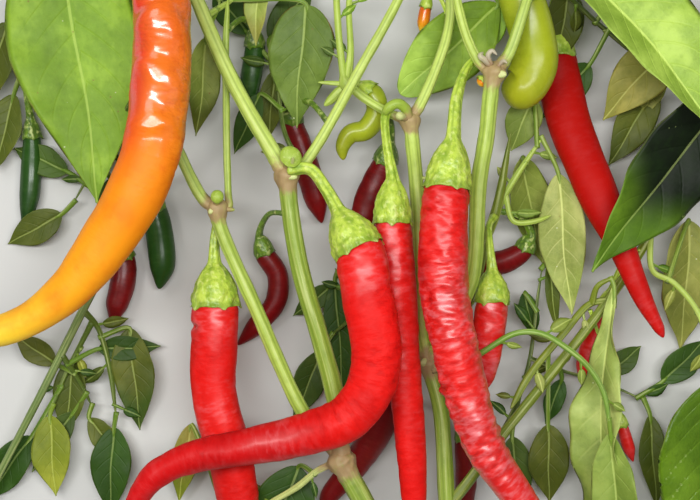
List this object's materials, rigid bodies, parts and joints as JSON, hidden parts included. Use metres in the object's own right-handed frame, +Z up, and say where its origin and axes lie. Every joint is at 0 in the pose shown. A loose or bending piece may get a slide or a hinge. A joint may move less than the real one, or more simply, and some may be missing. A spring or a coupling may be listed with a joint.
{
  "type": "cut fruiting branch of a chilli pepper plant",
  "caption": "Cut fruiting top of a chilli pepper plant lying on its back: forked green stems, long curved pods in red, orange and green, and leafy twigs.",
  "frame": {"origin": "on the floor under the middle of the plant's bounding box", "axes": "+Z up from the floor it lies on, +Y from the cut foot of the main stem towards the growing tips, +X to the right as seen from above"},
  "size_m": [0.3026, 0.3484, 0.0704],
  "materials": {
    "stem": "ribbed green stem with pale ridges",
    "calyx": "satin yellow-green calyx and stalk",
    "red_fruit": "glossy wrinkled red skin",
    "dark_fruit": "glossy dark red skin",
    "orange_fruit": "glossy orange skin blushed red, yellow at the tip",
    "unripe_fruit": "glossy yellow-green skin",
    "green_fruit": "glossy dark green skin",
    "leaf": "veined green leaf, paler beneath"
  },
  "bodies": {
    "root": {"main_stem": "stem", "left_foot_stem": "stem", "right_foot_stem": "stem", "left_stem": "stem", "left_outer_arm": "stem", "left_inner_arm": "stem", "far_left_stem": "stem", "far_left_arm": "stem", "far_left_thin_arm": "stem", "middle_stem": "stem", "middle_left_arm": "stem", "middle_right_arm": "stem", "right_stem": "stem", "right_inner_arm": "stem", "right_outer_arm": "stem", "far_right_stem": "stem", "back_stem": "stem", "drooping_stem": "stem", "orange_fruit": "orange_fruit", "orange_fruit_calyx": "calyx", "left_fruit": "red_fruit", "left_fruit_calyx": "calyx", "curved_fruit": "red_fruit", "curved_fruit_calyx": "calyx", "slim_fruit": "red_fruit", "slim_fruit_calyx": "calyx", "centre_fruit": "red_fruit", "centre_fruit_calyx": "calyx", "small_fruit": "red_fruit", "small_fruit_calyx": "calyx", "unripe_fruit": "unripe_fruit", "right_fruit": "red_fruit", "curled_fruit": "unripe_fruit", "bent_back_fruit": "dark_fruit", "dark_back_fruit": "dark_fruit", "green_back_fruit": "green_fruit", "far_left_green_fruit": "green_fruit", "upper_green_fruit": "green_fruit", "low_back_fruit": "dark_fruit", "foot_back_fruit": "dark_fruit", "right_back_fruit": "red_fruit", "crossing_back_fruit": "dark_fruit", "upper_back_fruit": "dark_fruit", "middle_back_fruit": "dark_fruit", "top_left_leaves": "leaf", "arm_side_leaves": "leaf", "top_inner_leaves": "leaf", "far_left_leaves": "leaf", "middle_left_leaves": "leaf", "middle_right_leaves": "leaf", "right_inner_leaves": "leaf", "right_outer_leaves": "leaf", "back_stem_leaves": "leaf", "far_right_leaves": "leaf", "lower_right_leaves": "leaf", "hanging_leaves": "leaf", "arching_leaf": "leaf", "drooping_stem_leaves": "leaf", "foot_leaves": "leaf", "centre_back_leaves": "leaf"}
  },
  "joints": []
}
